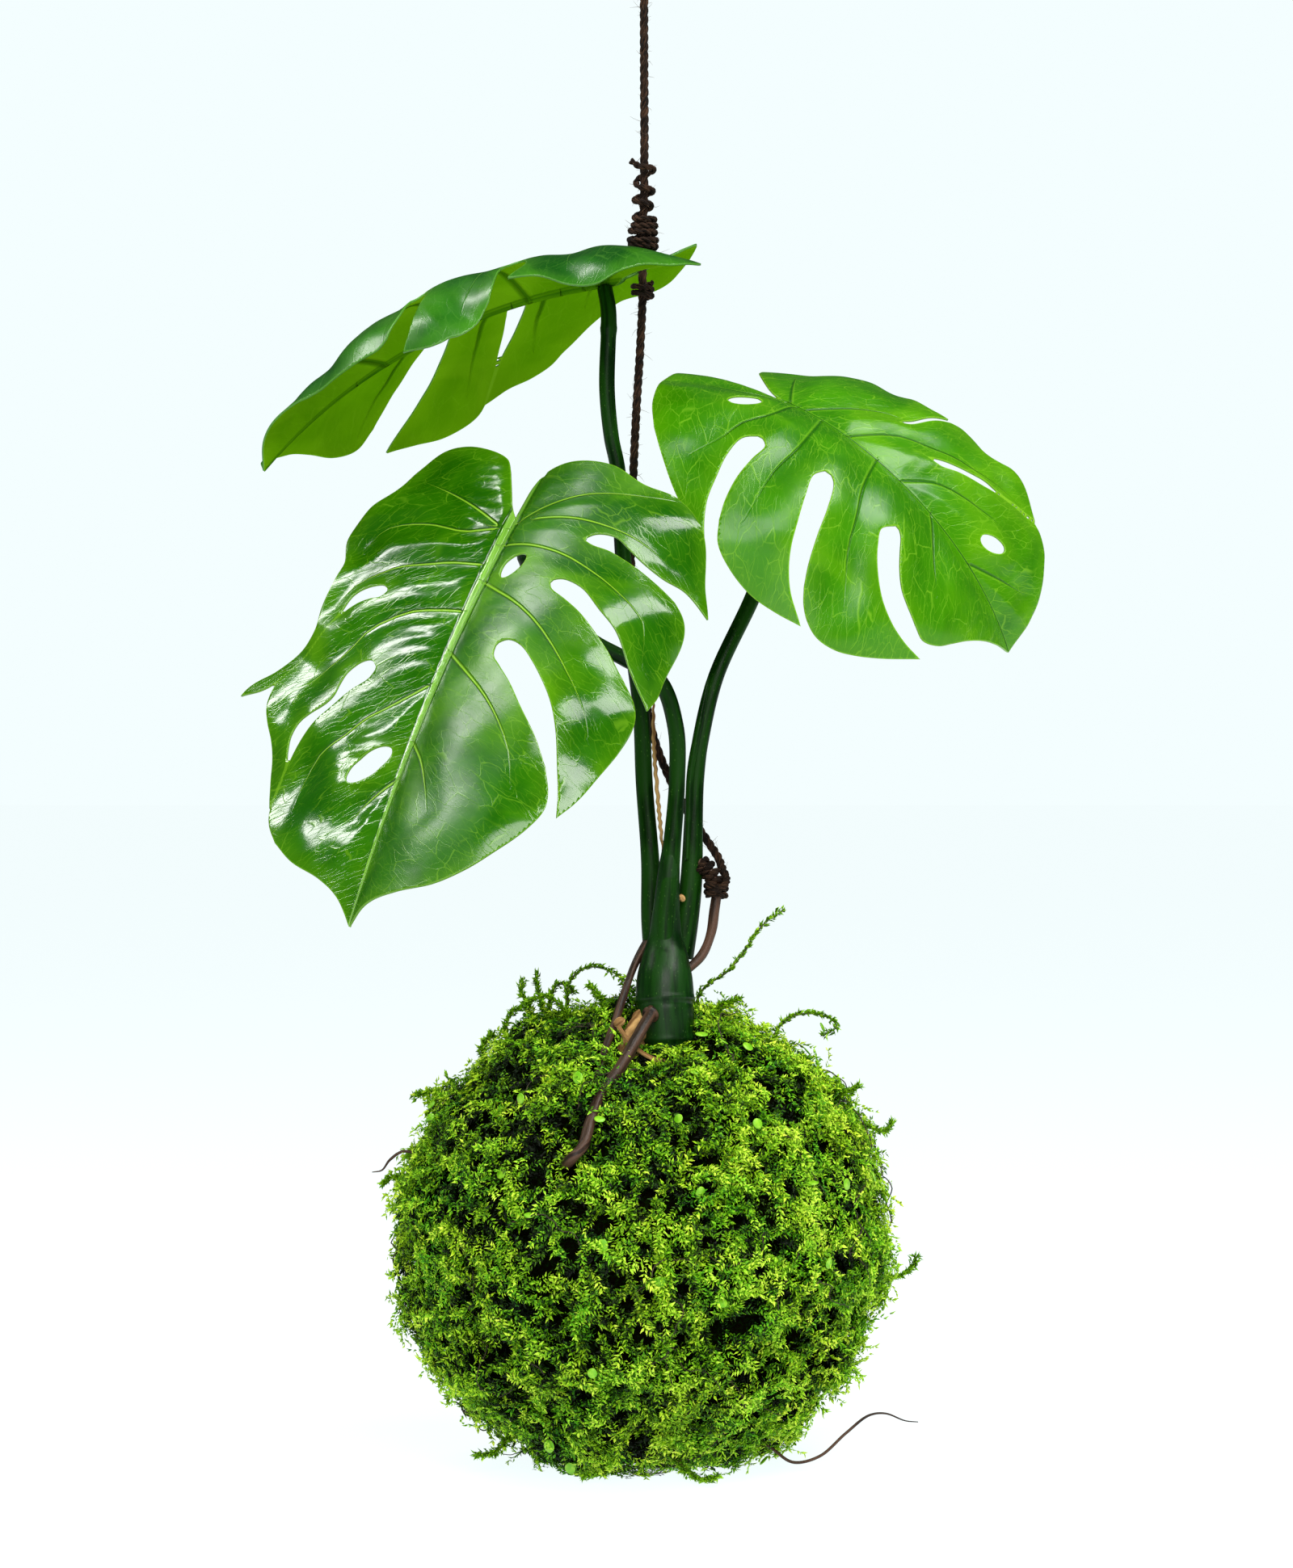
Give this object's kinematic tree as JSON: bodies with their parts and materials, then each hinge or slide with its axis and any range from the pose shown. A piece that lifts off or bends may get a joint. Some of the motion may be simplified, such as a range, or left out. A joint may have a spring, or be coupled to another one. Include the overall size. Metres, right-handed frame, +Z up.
{
  "type": "kokedama moss ball plant",
  "caption": "Young split-leaf house plant growing out of a ball of soil jacketed in living moss, with the jute twine it is hung by, ending in a loop.",
  "frame": {"origin": "centre of the small flat spot under the moss ball, on which the plant rests", "axes": "+Z up along the hanging twine, +X to the right and +Y away, as seen from the side that shows the largest leaf's upper face"},
  "size_m": [0.2481, 0.2132, 0.4963],
  "materials": {
    "soil": "matte",
    "moss": "matte",
    "stem": "satin",
    "dry_stem": "matte",
    "leaf_matte": "satin",
    "leaf_dark": "gloss",
    "leaf_bright": "gloss",
    "root": "matte",
    "twine": "matte"
  },
  "bodies": {
    "root": {"soil_core": "soil", "moss_jacket": "moss", "crown": "stem", "old_stem": "dry_stem", "petiole_a": "stem", "petiole_b": "stem", "petiole_c": "stem", "leaf_a": "leaf_matte", "leaf_b": "leaf_dark", "leaf_c": "leaf_bright", "root_1": "root", "root_2": "root", "root_3": "root", "thin_root": "dry_stem", "fine_root_left": "root", "fine_root_right": "root", "dry_sheath": "dry_stem", "twine": "twine", "twine_wrap": "twine", "twine_leaf_knot": "twine", "twine_root_knot": "twine", "twine_loop": "twine", "twine_loop_knot": "twine"}
  },
  "joints": []
}
